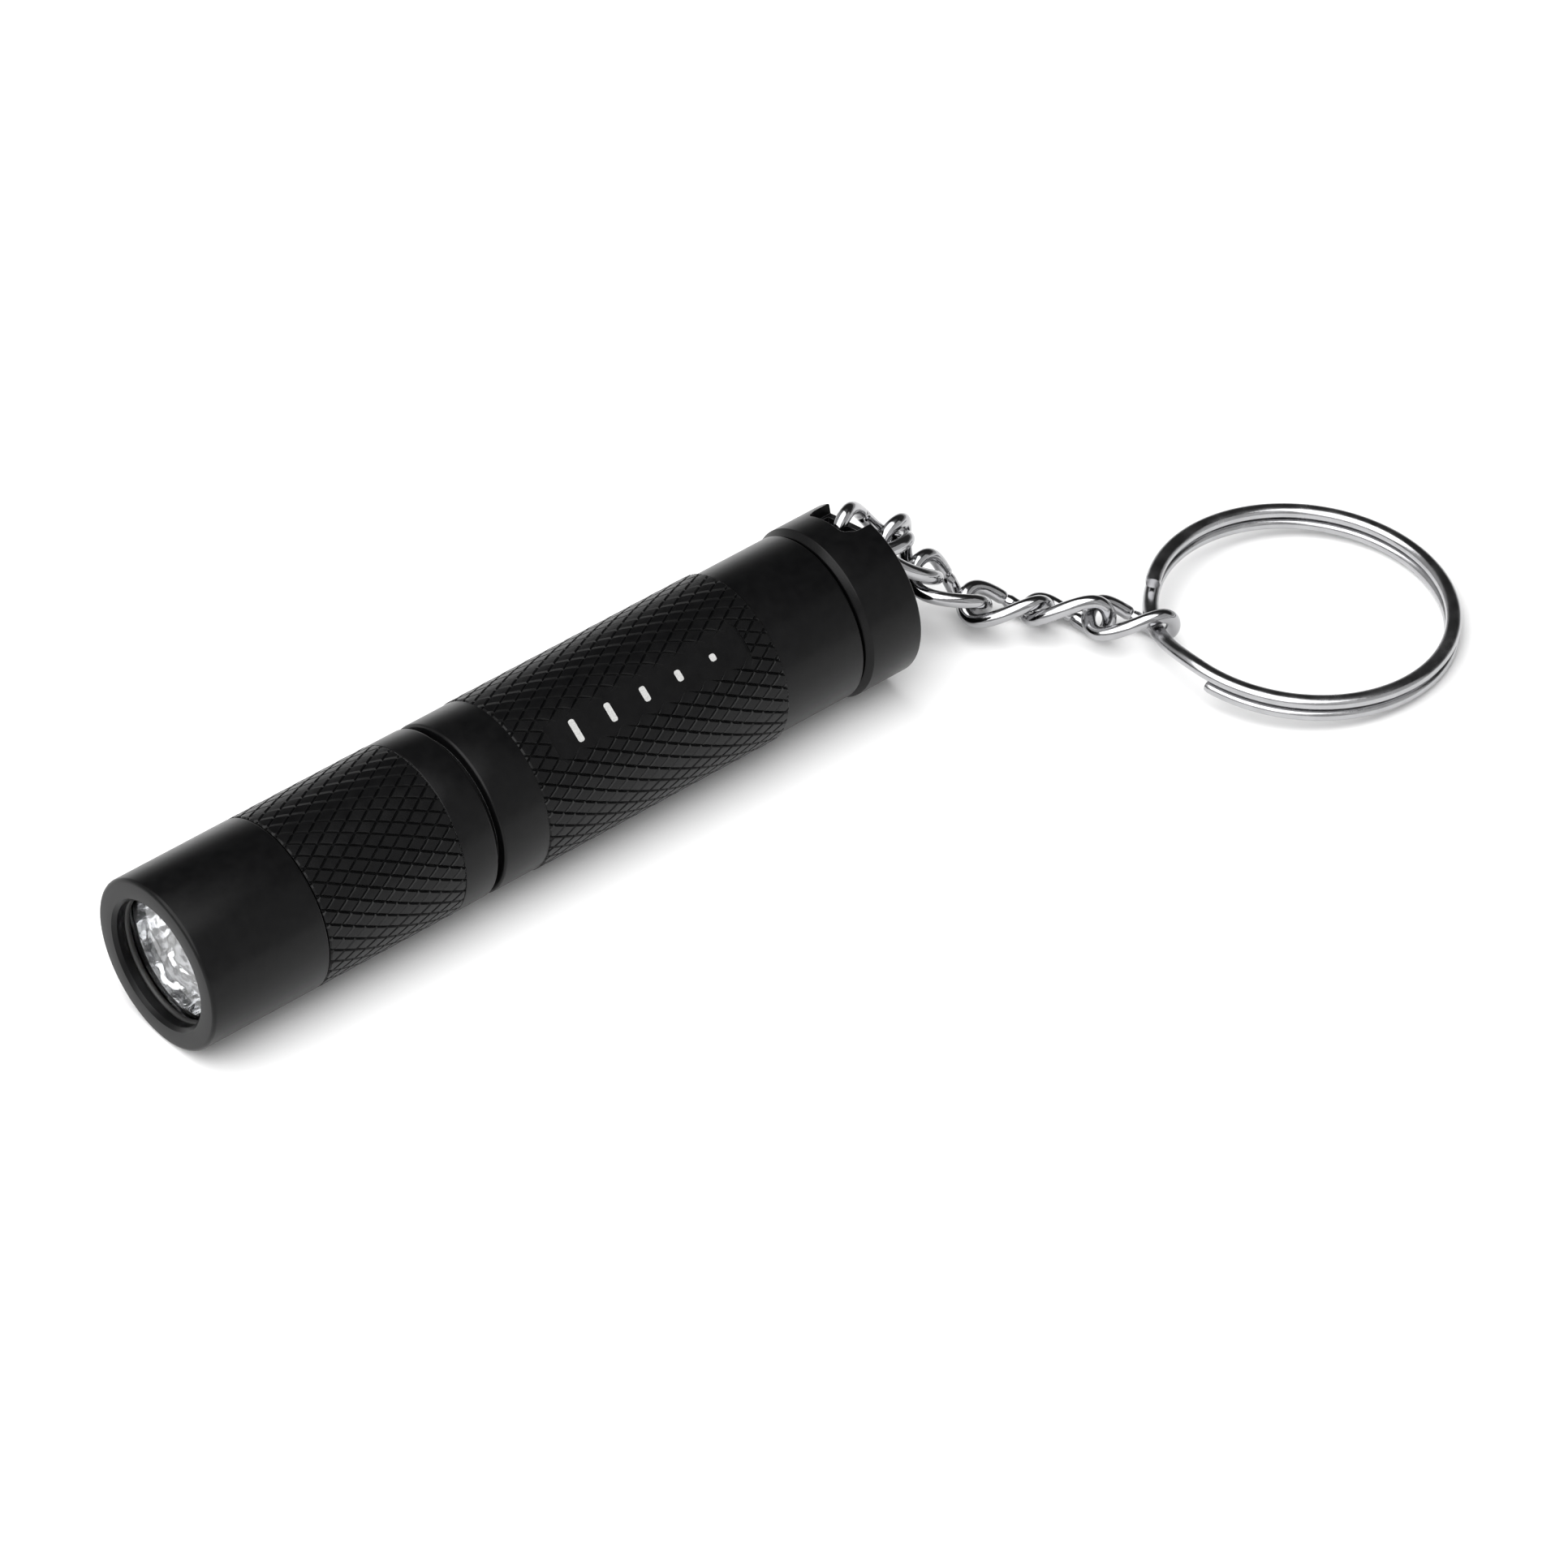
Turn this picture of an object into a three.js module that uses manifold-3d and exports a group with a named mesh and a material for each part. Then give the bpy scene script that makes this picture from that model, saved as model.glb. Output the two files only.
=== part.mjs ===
// Keychain flashlight: a pocket light for one AAA cell, with a twist head that switches it,
// a tail cap that unscrews, and a short curb chain that carries a split ring.
// Millimetres, +Z up. The light lies on its side along X, lens towards -X, on the plane z = 0.
// The origin is on that plane, under the knurled grip of the body.
import * as THREE from "three";
import { mergeVertices } from "three/addons/utils/BufferGeometryUtils.js";
import Module from "manifold-3d";

const wasm = await Module();
wasm.setup();

// ---- Driving dimensions ----

// Stations along the light, from the lens end to the tail.
const FRONT_RIM = -41.6;
const BEZEL_REAR = -30.8;
const HEAD_GRIP_REAR = -17.9;
const HEAD_REAR = -14.8;
const BODY_FRONT = -14.2;
const BODY_GRIP_FRONT = -9.9;
const BODY_GRIP_REAR = 13.5;
const BODY_REAR = 21.2;
const CAP_FRONT = 21.5;
const CAP_REAR = 26.8;

// Radii of the outside.
const GRIP_RADIUS = 7.15; // over the knurl of the body and the tail cap, which the light rests on
const HEAD_RADIUS = 7.1;
const NECK_RADIUS = 6.9; // smooth stretch between the body's knurl and the tail cap
const CHAMFER = 0.3;
const PART_GAP = 0.1; // between pieces that are screwed or pressed together

// Threads and seals.
const TUBE_SPIGOT_RADIUS = 6.2; // the body's male thread, inside the head
const HEAD_BORE_RADIUS = 6.3;
const TUBE_SPIGOT_FRONT = -25.2;
const BEZEL_BORE_RADIUS = 6.45;
const HEAD_SPIGOT_RADIUS = 6.35; // the head's male thread, inside the bezel
const HEAD_SPIGOT_FRONT = -37.6;
const CAP_BORE_RADIUS = 6.2; // female thread in the body's rear end
const CAP_SPIGOT_RADIUS = 6.05;
const CAP_SPIGOT_FRONT = 18.7;
const CAP_BORE_FRONT = 18.3;
const SEAL_SECTION = 0.22; // section radius of the O-rings on the two spigots

// The AAA cell.
const CELL_LENGTH = 44.5;
const CELL_RADIUS = 5.1;
const CELL_BUTTON_LENGTH = 0.9;
const CELL_BUTTON_RADIUS = 1.9;
const CELL_BAY_RADIUS = 5.35;
const CELL_FRONT = -27.1; // tip of the positive button
const CELL_SLEEVE_GAP = 0.04;
const CELL_SLEEVE_THICKNESS = 0.1;

// Optics.
const LENS_OPENING_RADIUS = 5.2;
const LIP_DEPTH = 1.0;
const LENS_RADIUS = 6.15;
const LENS_THICKNESS = 1.0;
const LENS_SEAL_SECTION = 0.28;
const FOCUS_X = -31.65; // where the LED's chip sits
const FOCAL_LENGTH = 0.8;
const REFLECTOR_REAR = -31.75;
const REFLECTOR_STEPS = 10;

// Wire goods.
const WIRE = 1.15; // diameter of the chain's wire
const LINK_LENGTH = 7.8; // outside
const LINK_WIDTH = 5.0; // outside
const LINK_TWIST = -52; // degrees that each end of a curb link turns out of its middle plane
const LINK_PITCH = 5.0;
const SEAM_GAP = 0.12;
const RING_DIAMETER = 25; // outside of the split ring
const RING_WIRE_WIDTH = 1.3; // measured across the ring
const RING_WIRE_HEIGHT = 1.0; // measured along the ring's axis
const RING_LAYER = 1.12; // from one coil to the next

// The notch and the bridge in the tail cap's wall that hold the chain.
const NOTCH_FRONT = 24.3;
const NOTCH_WIDTH = 5.2;
const NOTCH_TURN = -13; // degrees about the light's axis from straight up
const NOTCH_FLOOR_RADIUS = 5.75;
const BRIDGE_FRONT = 26.3;
const CUP_RADIUS = 4.6;
const CUP_FRONT = 23.2;

// How the chain lies. Each link: its fall below level, its heading in plan and its roll, in degrees.
const TAIL_LINK_FALL = 30.5;
const TAIL_LINK_ROLL = 20;
const BRIDGE_TO_LINK_CENTRE = 2.1;
const CHAIN_LIE = [
  { fall: 60, heading: -18, roll: 15 },
  { fall: 37, heading: -44, roll: -12 },
  { fall: 5, heading: -42, roll: -22 },
  { fall: -4, heading: -56, roll: -47 },
  { fall: 4, heading: -45, roll: -26 },
];
const RING_HEADING = -30;
const RING_FALL = 4.1;
const RING_LIFT = 0.61; // of the ring's middle plane above the end of the chain

const SIDES = 32; // flats around each turned piece, one of them underneath
const FLAT_SCALE = 1 / Math.cos(Math.PI / SIDES); // puts the middle of each flat at the stated radius

// ---- Materials ----

const FINISHES = {
  anodised: { color: 0x1c1c1e, roughness: 0.42, metalness: 0.7 },
  chrome: { color: 0xc9c9cc, roughness: 0.14, metalness: 1.0 },
  mirror: { color: 0xe8e8ea, roughness: 0.08, metalness: 1.0 },
  glass: { color: 0xf2f6f8, roughness: 0.03, metalness: 0.0 },
  rubber: { color: 0x0e0e0f, roughness: 0.7, metalness: 0.0 },
  brass: { color: 0xc9a24f, roughness: 0.28, metalness: 1.0 },
  spring: { color: 0xb8a27a, roughness: 0.3, metalness: 1.0 },
  steel: { color: 0xa9a9ac, roughness: 0.35, metalness: 1.0 },
  cell_wrap: { color: 0x3a5f86, roughness: 0.4, metalness: 0.0 },
  insulator: { color: 0xe6e2d6, roughness: 0.6, metalness: 0.0 },
  board: { color: 0x1f5a34, roughness: 0.5, metalness: 0.0 },
  ceramic: { color: 0xe9e6df, roughness: 0.5, metalness: 0.0 },
  phosphor: { color: 0xe8cf4a, roughness: 0.25, metalness: 0.0 },
  chip: { color: 0x151515, roughness: 0.5, metalness: 0.0 },
};

function finish(name) {
  return new THREE.MeshStandardMaterial(FINISHES[name]);
}

// ---- Helpers ----

const radians = THREE.MathUtils.degToRad;

const flashlight = new THREE.Group();
flashlight.name = "flashlight";

// Everything turned shares the light's axis, which is parallel to X above the resting plane.
const axis = new THREE.Group();
axis.position.z = GRIP_RADIUS;
flashlight.add(axis);

function addMesh(parent, name, geometry, finishName) {
  const mesh = new THREE.Mesh(geometry, finish(finishName));
  mesh.name = name;
  parent.add(mesh);
  return mesh;
}

// A solid of revolution about X from [x, radius] points, listed so that the solid is on their left.
function turned(points) {
  const profile = points.map(([x, radius]) => new THREE.Vector2(radius * FLAT_SCALE, x));
  const geometry = new THREE.LatheGeometry(profile, SIDES, Math.PI / SIDES);
  geometry.rotateZ(-Math.PI / 2);
  return geometry;
}

// The same, for a ring or tube whose profile closes on itself.
function turnedRing(points) {
  return turned([...points, points[0]]);
}

function disc(front, rear, radius) {
  return turned([
    [front, 0],
    [front, radius],
    [rear, radius],
    [rear, 0],
  ]);
}

function tube(front, rear, inner, outer) {
  return turnedRing([
    [front, inner],
    [front, outer],
    [rear, outer],
    [rear, inner],
  ]);
}

function sealRing(x, radius, section) {
  const corners = 6;
  const points = [];
  for (let i = 0; i < corners; i += 1) {
    const angle = (2 * Math.PI * i) / corners;
    points.push([x - section * Math.cos(angle), radius + section * Math.sin(angle)]);
  }
  return turnedRing(points);
}

function solidFrom(geometry) {
  const bare = geometry.clone();
  bare.deleteAttribute("normal");
  bare.deleteAttribute("uv");
  const merged = mergeVertices(bare, 1e-4);
  const mesh = new wasm.Mesh({
    numProp: 3,
    vertProperties: new Float32Array(merged.attributes.position.array),
    triVerts: new Uint32Array(merged.index.array),
  });
  return new wasm.Manifold(mesh);
}

function geometryFrom(solid) {
  const mesh = solid.getMesh();
  const geometry = new THREE.BufferGeometry();
  geometry.setAttribute("position", new THREE.BufferAttribute(mesh.vertProperties, 3));
  geometry.setIndex(new THREE.BufferAttribute(mesh.triVerts, 1));
  const flat = geometry.toNonIndexed();
  flat.computeVertexNormals();
  return flat;
}

function roundWire(radius, sides) {
  const shape = new THREE.Shape();
  for (let i = 0; i < sides; i += 1) {
    const angle = (2 * Math.PI * (i + 0.5)) / sides;
    const x = radius * Math.cos(angle);
    const y = radius * Math.sin(angle);
    if (i === 0) shape.moveTo(x, y);
    else shape.lineTo(x, y);
  }
  shape.closePath();
  return shape;
}

function wireAlong(path, section, steps) {
  return new THREE.ExtrudeGeometry(section, { steps, bevelEnabled: false, extrudePath: path });
}

// ---- Head ----

function makeBezelRing() {
  const lipRear = FRONT_RIM + LIP_DEPTH;
  return turnedRing([
    [FRONT_RIM, LENS_OPENING_RADIUS + CHAMFER],
    [FRONT_RIM, HEAD_RADIUS - CHAMFER],
    [FRONT_RIM + CHAMFER, HEAD_RADIUS],
    [BEZEL_REAR - CHAMFER, HEAD_RADIUS],
    [BEZEL_REAR, HEAD_RADIUS - CHAMFER],
    [BEZEL_REAR, BEZEL_BORE_RADIUS],
    [lipRear, BEZEL_BORE_RADIUS],
    [lipRear, LENS_OPENING_RADIUS],
    [FRONT_RIM + CHAMFER, LENS_OPENING_RADIUS],
  ]);
}

function reflectorRadius(x) {
  return Math.sqrt(4 * FOCAL_LENGTH * (FOCUS_X + FOCAL_LENGTH - x));
}

function makeReflector(front) {
  const flangeThickness = 0.8;
  const rearRadius = 2.6;
  const shoulderRadius = 5.8;
  const points = [
    [front, LENS_RADIUS],
    [front + flangeThickness, LENS_RADIUS],
    [front + flangeThickness, shoulderRadius],
    [REFLECTOR_REAR, rearRadius],
  ];
  for (let i = REFLECTOR_STEPS; i >= 0; i -= 1) {
    const x = front + ((REFLECTOR_REAR - front) * i) / REFLECTOR_STEPS;
    points.push([x, reflectorRadius(x)]);
  }
  return turnedRing(points);
}

// The sleeve carries the knurled grip, the smooth collar, and both threads of the head.
function makeHeadSleeve(boardShoulder) {
  const grip = BEZEL_REAR + PART_GAP;
  const boardBayRadius = 5.65;
  const threadShoulder = -26.1;
  return turnedRing([
    [HEAD_SPIGOT_FRONT, boardBayRadius],
    [HEAD_SPIGOT_FRONT, HEAD_SPIGOT_RADIUS],
    [grip, HEAD_SPIGOT_RADIUS],
    [grip, HEAD_RADIUS],
    [HEAD_GRIP_REAR, HEAD_RADIUS],
    [HEAD_REAR - CHAMFER, HEAD_RADIUS],
    [HEAD_REAR, HEAD_RADIUS - CHAMFER],
    [HEAD_REAR, HEAD_BORE_RADIUS],
    [threadShoulder, HEAD_BORE_RADIUS],
    [threadShoulder, CELL_BAY_RADIUS],
    [boardShoulder, CELL_BAY_RADIUS],
    [boardShoulder, boardBayRadius],
  ]);
}

function addHead() {
  const head = new THREE.Group();
  head.name = "head";
  axis.add(head);

  addMesh(head, "bezel_ring", makeBezelRing(), "anodised");

  const sealX = FRONT_RIM + LIP_DEPTH + LENS_SEAL_SECTION + 0.02;
  const sealRadius = LENS_OPENING_RADIUS - 0.12 + LENS_SEAL_SECTION;
  addMesh(head, "lens_o_ring", sealRing(sealX, sealRadius, LENS_SEAL_SECTION), "rubber");

  const lensFront = sealX + LENS_SEAL_SECTION + 0.02;
  const lensRear = lensFront + LENS_THICKNESS;
  addMesh(head, "lens", disc(lensFront, lensRear, LENS_RADIUS), "glass");
  addMesh(head, "reflector", makeReflector(lensRear + 0.05), "mirror");

  const boardRadius = 5.55;
  const ledTop = FOCUS_X + 0.05;
  const packageThickness = 0.6;
  const ledBoardFront = ledTop + packageThickness + 0.02;
  const ledBoardThickness = 1.1;
  const ledSize = 3.45;
  const domeRadius = 1.25;
  addMesh(head, "led_dome", makeDome(domeRadius, ledTop - 0.02), "phosphor");
  const ledPackage = new THREE.BoxGeometry(packageThickness, ledSize, ledSize);
  const ledMesh = addMesh(head, "led_package", ledPackage, "ceramic");
  ledMesh.position.x = ledTop + packageThickness / 2;
  const ledBoardRear = ledBoardFront + ledBoardThickness;
  addMesh(head, "led_board", disc(ledBoardFront, ledBoardRear, boardRadius), "ceramic");

  const driverFront = -29.1;
  const driverRear = -28.35;
  addMesh(head, "driver_board", disc(driverFront, driverRear, boardRadius), "board");
  addChips(head, driverFront, ledBoardRear);

  const contactFront = driverRear + 0.02;
  const contactRear = CELL_FRONT - 0.03;
  addMesh(head, "positive_contact", disc(contactFront, contactRear, 1.6), "brass");
  const insulator = tube(contactFront, contactFront + 0.9, 2.5, CELL_BAY_RADIUS - PART_GAP);
  addMesh(head, "contact_insulator", insulator, "insulator");
  addMesh(head, "head_sleeve", makeHeadSleeve(driverRear + 0.02), "anodised");
}

// The clear dome over the LED's chip: a half ball that bulges towards the lens.
function makeDome(radius, baseX) {
  const steps = 5;
  const points = [];
  for (let i = 0; i <= steps; i += 1) {
    const angle = (Math.PI / 2) * (i / steps);
    points.push([baseX - radius * Math.cos(angle), radius * Math.sin(angle)]);
  }
  points.push([baseX, 0]);
  return turned(points);
}

// The driver's parts stand on its board, in the space behind the LED board.
function addChips(head, boardFront, ceiling) {
  const clearance = 0.05;
  const height = boardFront - ceiling - 2 * clearance;
  const parts = [
    { name: "driver_inductor", size: 3.0, y: -2.2, z: 1.2 },
    { name: "driver_chip", size: 2.4, y: 2.1, z: -1.4 },
  ];
  for (const part of parts) {
    const box = new THREE.BoxGeometry(height, part.size, part.size);
    const mesh = addMesh(head, part.name, box, "chip");
    mesh.position.set(boardFront - clearance - height / 2, part.y, part.z);
  }
}

// ---- Body and cell ----

function makeBodyTube() {
  const grooveFront = -16.6;
  const grooveRear = -15.9;
  const grooveRadius = TUBE_SPIGOT_RADIUS - 0.4;
  const shoulder = 0.25;
  return turnedRing([
    [TUBE_SPIGOT_FRONT, CELL_BAY_RADIUS],
    [TUBE_SPIGOT_FRONT, TUBE_SPIGOT_RADIUS],
    [grooveFront, TUBE_SPIGOT_RADIUS],
    [grooveFront, grooveRadius],
    [grooveRear, grooveRadius],
    [grooveRear, TUBE_SPIGOT_RADIUS],
    [BODY_FRONT, TUBE_SPIGOT_RADIUS],
    [BODY_FRONT, HEAD_RADIUS - CHAMFER],
    [BODY_FRONT + CHAMFER, HEAD_RADIUS],
    [BODY_GRIP_FRONT, HEAD_RADIUS],
    [BODY_GRIP_FRONT, GRIP_RADIUS],
    [BODY_GRIP_REAR, GRIP_RADIUS],
    [BODY_GRIP_REAR + shoulder, NECK_RADIUS],
    [BODY_REAR, NECK_RADIUS],
    [BODY_REAR, CAP_BORE_RADIUS],
    [CAP_BORE_FRONT, CAP_BORE_RADIUS],
    [CAP_BORE_FRONT, CELL_BAY_RADIUS],
  ]);
}

function addBody() {
  const body = new THREE.Group();
  body.name = "body";
  axis.add(body);
  addMesh(body, "body_tube", makeBodyTube(), "anodised");
  const sealRadius = HEAD_BORE_RADIUS - SEAL_SECTION - 0.03;
  addMesh(body, "head_o_ring", sealRing(-16.25, sealRadius, SEAL_SECTION), "rubber");
}

function addCell() {
  const cell = new THREE.Group();
  cell.name = "cell";
  axis.add(cell);
  const canFront = CELL_FRONT + CELL_BUTTON_LENGTH;
  const canRear = CELL_FRONT + CELL_LENGTH;
  const sleeveInner = CELL_RADIUS + CELL_SLEEVE_GAP;
  const sleeveOuter = sleeveInner + CELL_SLEEVE_THICKNESS;
  addMesh(cell, "cell_can", disc(canFront, canRear, CELL_RADIUS), "steel");
  addMesh(cell, "cell_sleeve", tube(canFront, canRear - 0.4, sleeveInner, sleeveOuter), "cell_wrap");
  addMesh(cell, "cell_button", disc(CELL_FRONT, canFront - 0.02, CELL_BUTTON_RADIUS), "steel");
}

// ---- Tail cap ----

class SpringCurve extends THREE.Curve {
  constructor(front, rear, radius, turns) {
    super();
    this.front = front;
    this.rear = rear;
    this.radius = radius;
    this.turns = turns;
  }

  getPoint(t, target = new THREE.Vector3()) {
    const angle = 2 * Math.PI * this.turns * t;
    const x = THREE.MathUtils.lerp(this.front, this.rear, t);
    return target.set(x, this.radius * Math.cos(angle), this.radius * Math.sin(angle));
  }
}

// A slot with two rounded front corners, cut straight in towards the light's axis.
function makeSlotCutter(front, rear, width, cornerRadius, innerRadius, outerRadius) {
  const half = width / 2;
  const shape = new THREE.Shape();
  shape.moveTo(rear, -half);
  shape.lineTo(rear, half);
  shape.lineTo(front + cornerRadius, half);
  shape.absarc(front + cornerRadius, half - cornerRadius, cornerRadius, Math.PI / 2, Math.PI, false);
  shape.absarc(front + cornerRadius, cornerRadius - half, cornerRadius, Math.PI, 1.5 * Math.PI, false);
  shape.closePath();
  const depth = outerRadius - innerRadius;
  const cutter = new THREE.ExtrudeGeometry(shape, { depth, bevelEnabled: false, curveSegments: 4 });
  cutter.translate(0, 0, innerRadius);
  cutter.rotateX(radians(NOTCH_TURN));
  return cutter;
}

function makeTailCap() {
  const pocketRadius = 4.6;
  const pocketRear = 22.0;
  const grooveFront = 19.9;
  const grooveRear = 20.6;
  const grooveRadius = CAP_SPIGOT_RADIUS - 0.4;
  const blank = turned([
    [pocketRear, 0],
    [pocketRear, pocketRadius],
    [CAP_SPIGOT_FRONT, pocketRadius],
    [CAP_SPIGOT_FRONT, CAP_SPIGOT_RADIUS],
    [grooveFront, CAP_SPIGOT_RADIUS],
    [grooveFront, grooveRadius],
    [grooveRear, grooveRadius],
    [grooveRear, CAP_SPIGOT_RADIUS],
    [CAP_FRONT, CAP_SPIGOT_RADIUS],
    [CAP_FRONT, NECK_RADIUS - CHAMFER],
    [CAP_FRONT + 0.45, GRIP_RADIUS],
    [CAP_REAR - CHAMFER, GRIP_RADIUS],
    [CAP_REAR, GRIP_RADIUS - CHAMFER],
    [CAP_REAR, CUP_RADIUS],
    [CUP_FRONT, CUP_RADIUS],
    [CUP_FRONT, 0],
  ]);
  const beyondRim = CAP_REAR + 1;
  const beyondWall = GRIP_RADIUS + 1;
  const notch = makeSlotCutter(NOTCH_FRONT, beyondRim, NOTCH_WIDTH, 1.3, NOTCH_FLOOR_RADIUS, beyondWall);
  const hole = makeSlotCutter(NOTCH_FRONT, BRIDGE_FRONT, NOTCH_WIDTH - 0.6, 0.6, 1.5, beyondWall);
  const cut = solidFrom(blank).subtract(solidFrom(notch)).subtract(solidFrom(hole));
  return geometryFrom(cut);
}

function addTail() {
  const tail = new THREE.Group();
  tail.name = "tail";
  axis.add(tail);
  addMesh(tail, "tail_cap", makeTailCap(), "anodised");
  const sealRadius = CAP_BORE_RADIUS - SEAL_SECTION - 0.03;
  addMesh(tail, "tail_o_ring", sealRing(20.25, sealRadius, SEAL_SECTION), "rubber");
  addMesh(tail, "spring_contact", disc(21.45, 21.95, 4.4), "brass");
  const springWire = 0.25;
  const cellRear = CELL_FRONT + CELL_LENGTH;
  const coil = new SpringCurve(cellRear + springWire + 0.05, 21.45 - springWire - 0.05, 3.4, 3.75);
  addMesh(tail, "cell_spring", wireAlong(coil, roundWire(springWire, 6), 44), "spring");
}

// ---- Chain and split ring ----

// The centre line of a curb link about its own middle: long in x, and twisted about x.
class LinkCurve extends THREE.Curve {
  getPoint(t, target = new THREE.Vector3()) {
    const halfLength = (LINK_LENGTH - WIRE) / 2;
    const halfWidth = (LINK_WIDTH - WIRE) / 2;
    const sideSharpness = 3;
    const stretch = (sideSharpness * (halfLength - halfWidth)) / Math.tanh(sideSharpness);
    const seamAngle = SEAM_GAP / (halfWidth + stretch);
    const angle = Math.PI / 2 + seamAngle / 2 + (2 * Math.PI - seamAngle) * t;
    const reach = Math.tanh(sideSharpness * Math.cos(angle)) / Math.tanh(sideSharpness);
    const x = halfWidth * Math.cos(angle) + (halfLength - halfWidth) * reach;
    const across = halfWidth * Math.sin(angle);
    const twist = radians(LINK_TWIST) * (x / halfLength);
    return target.set(x, across * Math.cos(twist), across * Math.sin(twist));
  }
}

// The unit vector along a link from its fall below level and its heading in plan.
function linkDirection(fall, heading) {
  const level = Math.cos(radians(fall));
  return new THREE.Vector3(
    level * Math.cos(radians(heading)),
    level * Math.sin(radians(heading)),
    -Math.sin(radians(fall)),
  );
}

// Turns a piece's x along the direction, with its z as near to up as that allows, then rolls it.
function orient(object, direction, roll) {
  const across = new THREE.Vector3(0, 0, 1).cross(direction).normalize();
  const up = new THREE.Vector3().crossVectors(direction, across);
  const frame = new THREE.Matrix4().makeBasis(direction, across, up);
  object.quaternion.setFromRotationMatrix(frame);
  object.rotateX(radians(roll));
}

function addLink(name, centre, direction, roll) {
  const link = addMesh(flashlight, name, wireAlong(new LinkCurve(), roundWire(WIRE / 2, 8), 36), "chrome");
  link.position.copy(centre);
  orient(link, direction, roll);
}

// Two flat coils: the wire runs once round below, steps up, and runs round again on top.
class SplitRingCurve extends THREE.Curve {
  getPoint(t, target = new THREE.Vector3()) {
    const start = 190;
    const end = 852;
    const stepStart = 504;
    const stepEnd = 545;
    const angle = THREE.MathUtils.lerp(start, end, t);
    const climb = THREE.MathUtils.smoothstep(angle, stepStart, stepEnd) - 0.5;
    const radius = (RING_DIAMETER - RING_WIRE_WIDTH) / 2;
    const turn = radians(angle - RING_HEADING);
    return target.set(radius * Math.cos(turn), radius * Math.sin(turn), RING_LAYER * climb);
  }
}

function ringSection() {
  const halfHeight = RING_WIRE_HEIGHT / 2;
  const halfWidth = RING_WIRE_WIDTH / 2;
  const corner = 0.3;
  const shape = new THREE.Shape();
  shape.moveTo(-halfHeight, -halfWidth + corner);
  shape.lineTo(-halfHeight + corner, -halfWidth);
  shape.lineTo(halfHeight - corner, -halfWidth);
  shape.lineTo(halfHeight, -halfWidth + corner);
  shape.lineTo(halfHeight, halfWidth - corner);
  shape.lineTo(halfHeight - corner, halfWidth);
  shape.lineTo(-halfHeight + corner, halfWidth);
  shape.lineTo(-halfHeight, halfWidth - corner);
  shape.closePath();
  return shape;
}

function addChain() {
  const notchUp = new THREE.Vector3(0, -Math.sin(radians(NOTCH_TURN)), Math.cos(radians(NOTCH_TURN)));
  const bridgeRadius = (NOTCH_FLOOR_RADIUS + CUP_RADIUS) / 2;
  const bridge = notchUp.clone().multiplyScalar(bridgeRadius);
  bridge.x = (BRIDGE_FRONT + CAP_REAR) / 2;
  bridge.z += GRIP_RADIUS;

  // The first link hangs on the bridge, in the plane of the light's axis and the notch.
  const fall = radians(TAIL_LINK_FALL);
  const first = new THREE.Vector3(Math.cos(fall), 0, 0).addScaledVector(notchUp, -Math.sin(fall));
  const centre = bridge.clone().addScaledVector(first, BRIDGE_TO_LINK_CENTRE);
  addLink("tail_link", centre, first, TAIL_LINK_ROLL);

  // Each later link starts where the one before it ends.
  const joint = centre.clone().addScaledVector(first, LINK_PITCH / 2);
  CHAIN_LIE.forEach(({ fall: drop, heading, roll }, index) => {
    const direction = linkDirection(drop, heading);
    const middle = joint.clone().addScaledVector(direction, LINK_PITCH / 2);
    addLink(`chain_link_${index + 1}`, middle, direction, roll);
    joint.addScaledVector(direction, LINK_PITCH);
  });

  const wireGap = 0.7;
  const towardsCentre = linkDirection(RING_FALL, RING_HEADING);
  const ring = addMesh(
    flashlight,
    "split_ring",
    wireAlong(new SplitRingCurve(), ringSection(), 72),
    "chrome",
  );
  ring.position.copy(joint);
  ring.position.addScaledVector(towardsCentre, (RING_DIAMETER - RING_WIRE_WIDTH) / 2 - wireGap);
  ring.position.z += RING_LIFT;
  orient(ring, towardsCentre, 0);
}

addHead();
addBody();
addCell();
addTail();
addChain();

export default flashlight;
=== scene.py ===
"""Looks for the keychain flashlight: black anodised light, plated curb chain and split ring."""

import math

import bmesh
import bpy
from mathutils import Matrix, Vector, noise


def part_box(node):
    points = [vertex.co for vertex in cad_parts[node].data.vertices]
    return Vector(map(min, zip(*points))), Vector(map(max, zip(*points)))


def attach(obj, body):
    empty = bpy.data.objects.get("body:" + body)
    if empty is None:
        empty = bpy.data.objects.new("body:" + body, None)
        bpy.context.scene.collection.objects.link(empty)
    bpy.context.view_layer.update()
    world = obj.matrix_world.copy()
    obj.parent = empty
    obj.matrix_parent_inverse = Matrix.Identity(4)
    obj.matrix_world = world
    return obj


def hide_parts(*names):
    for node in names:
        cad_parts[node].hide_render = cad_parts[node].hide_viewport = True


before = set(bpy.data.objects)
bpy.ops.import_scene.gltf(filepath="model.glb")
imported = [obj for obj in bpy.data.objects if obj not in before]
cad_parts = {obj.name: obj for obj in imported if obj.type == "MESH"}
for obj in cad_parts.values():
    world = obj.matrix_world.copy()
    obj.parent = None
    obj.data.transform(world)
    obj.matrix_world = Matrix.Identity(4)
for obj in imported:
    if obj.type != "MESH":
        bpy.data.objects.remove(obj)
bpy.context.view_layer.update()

# ---- Driving dimensions, in metres and degrees ----

MM = 0.001

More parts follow.
